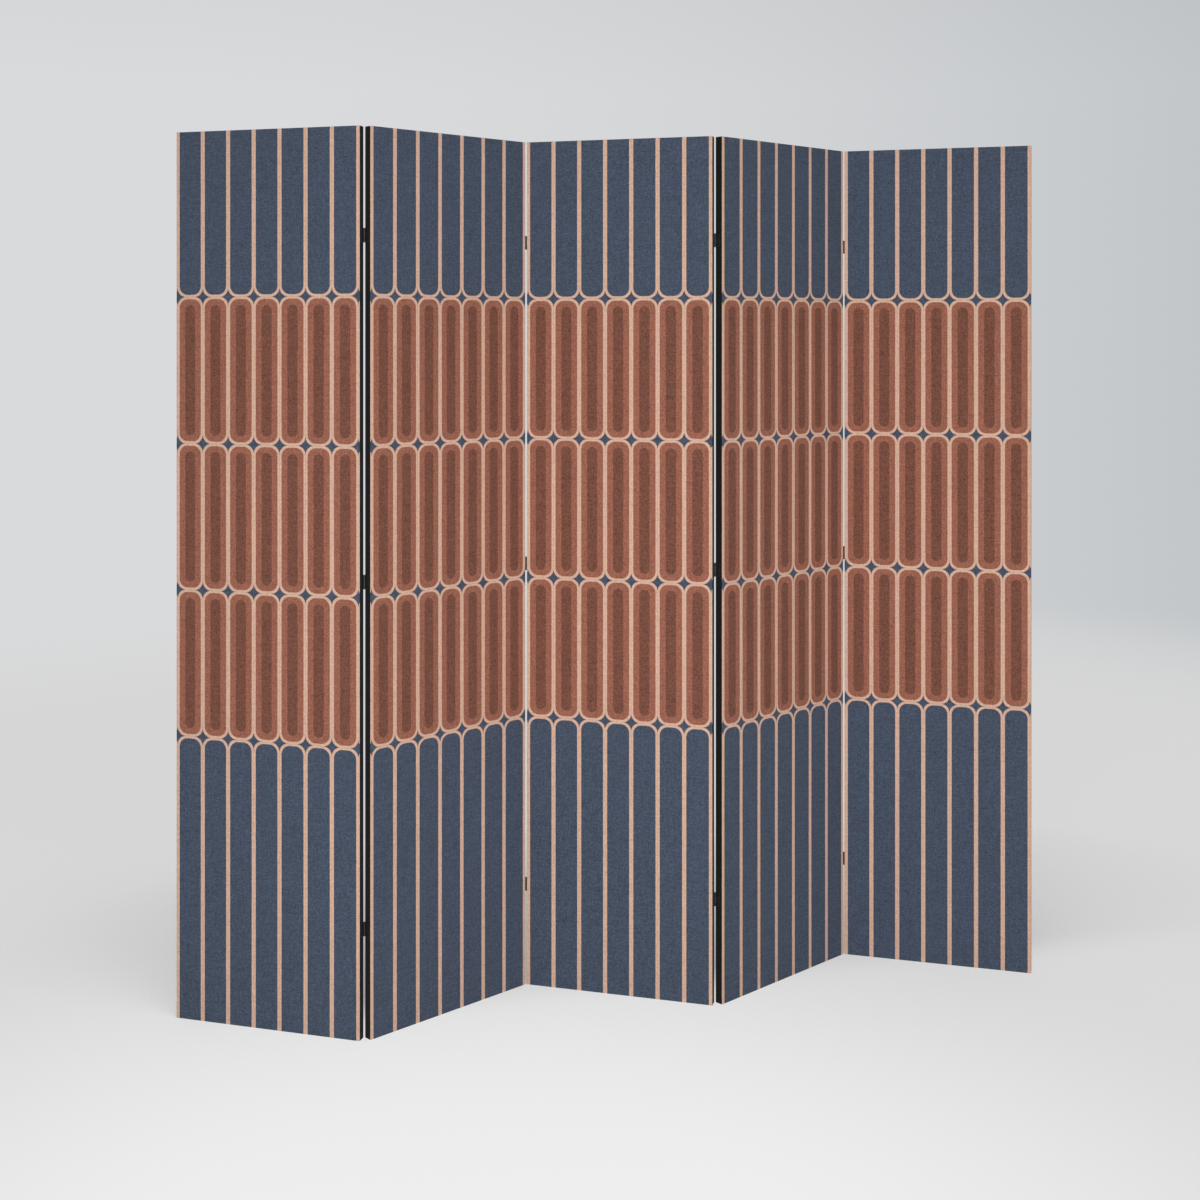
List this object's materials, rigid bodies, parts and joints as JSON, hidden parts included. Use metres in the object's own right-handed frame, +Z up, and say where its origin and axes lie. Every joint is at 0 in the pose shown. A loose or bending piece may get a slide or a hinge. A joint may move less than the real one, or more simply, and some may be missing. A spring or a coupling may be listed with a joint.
{
  "type": "room divider",
  "caption": "Folding screen of tall slim canvas-covered panels with a geometric print, hinged edge to edge so that it stands in a zigzag and folds away.",
  "frame": {"origin": "on the floor, under the middle of the middle panel, which is the middle of the whole zigzag", "axes": "+Z up, the printed fronts face -Y, +X to the right along the screen as seen from the front"},
  "size_m": [1.6087, 0.1927, 1.6],
  "materials": {
    "printed_canvas": "matt printed canvas: slate blue with cream-outlined terracotta bars on the front, black on the edges",
    "black_lining": "matt black cloth",
    "frame_wood": "planed pine",
    "black_hinge": "black lacquered steel",
    "dark_pin": "blackened steel",
    "black_screws": "blackened steel",
    "staple_wire": "zinc-plated wire"
  },
  "bodies": {
    "panel_1": {"hinge_1_2_left_leaves": "black_hinge", "panel_1_back_lining": "black_lining", "panel_1_bottom_rail": "frame_wood", "panel_1_cross_rails": "frame_wood", "panel_1_front_canvas": "printed_canvas", "panel_1_hinge_screws": "black_screws", "panel_1_left_stile": "frame_wood", "panel_1_right_stile": "frame_wood", "panel_1_staples": "staple_wire", "panel_1_top_rail": "frame_wood"},
    "panel_2": {"hinge_1_2_pins": "dark_pin", "hinge_1_2_right_leaves": "black_hinge", "hinge_2_3_left_leaves": "black_hinge", "hinge_2_3_pins": "dark_pin", "panel_2_back_lining": "black_lining", "panel_2_bottom_rail": "frame_wood", "panel_2_cross_rails": "frame_wood", "panel_2_front_canvas": "printed_canvas", "panel_2_hinge_screws": "black_screws", "panel_2_left_stile": "frame_wood", "panel_2_right_stile": "frame_wood", "panel_2_staples": "staple_wire", "panel_2_top_rail": "frame_wood"},
    "panel_3": {"hinge_2_3_right_leaves": "black_hinge", "hinge_3_4_left_leaves": "black_hinge", "panel_3_back_lining": "black_lining", "panel_3_bottom_rail": "frame_wood", "panel_3_cross_rails": "frame_wood", "panel_3_front_canvas": "printed_canvas", "panel_3_hinge_screws": "black_screws", "panel_3_left_stile": "frame_wood", "panel_3_right_stile": "frame_wood", "panel_3_staples": "staple_wire", "panel_3_top_rail": "frame_wood"},
    "panel_4": {"hinge_3_4_pins": "dark_pin", "hinge_3_4_right_leaves": "black_hinge", "hinge_4_5_left_leaves": "black_hinge", "hinge_4_5_pins": "dark_pin", "panel_4_back_lining": "black_lining", "panel_4_bottom_rail": "frame_wood", "panel_4_cross_rails": "frame_wood", "panel_4_front_canvas": "printed_canvas", "panel_4_hinge_screws": "black_screws", "panel_4_left_stile": "frame_wood", "panel_4_right_stile": "frame_wood", "panel_4_staples": "staple_wire", "panel_4_top_rail": "frame_wood"},
    "panel_5": {"hinge_4_5_right_leaves": "black_hinge", "panel_5_back_lining": "black_lining", "panel_5_bottom_rail": "frame_wood", "panel_5_cross_rails": "frame_wood", "panel_5_front_canvas": "printed_canvas", "panel_5_hinge_screws": "black_screws", "panel_5_left_stile": "frame_wood", "panel_5_right_stile": "frame_wood", "panel_5_staples": "staple_wire", "panel_5_top_rail": "frame_wood"}
  },
  "joints": [
    {"name": "fold_2_3", "type": "hinge", "parent": "panel_3", "child": "panel_2", "pos_m": [-0.16125, 0.08351, 0.8], "axis": [0, 0, -1], "range_deg": [-117, 60]},
    {"name": "fold_1_2", "type": "hinge", "parent": "panel_2", "child": "panel_1", "pos_m": [-0.48374, -0.08351, 0.8], "axis": [0, 0, 1], "range_deg": [-120, 60]},
    {"name": "fold_3_4", "type": "hinge", "parent": "panel_3", "child": "panel_4", "pos_m": [0.16125, -0.08351, 0.8], "axis": [0, 0, -1], "range_deg": [-117, 60]},
    {"name": "fold_4_5", "type": "hinge", "parent": "panel_4", "child": "panel_5", "pos_m": [0.48374, 0.08351, 0.8], "axis": [0, 0, 1], "range_deg": [-120, 60]}
  ]
}
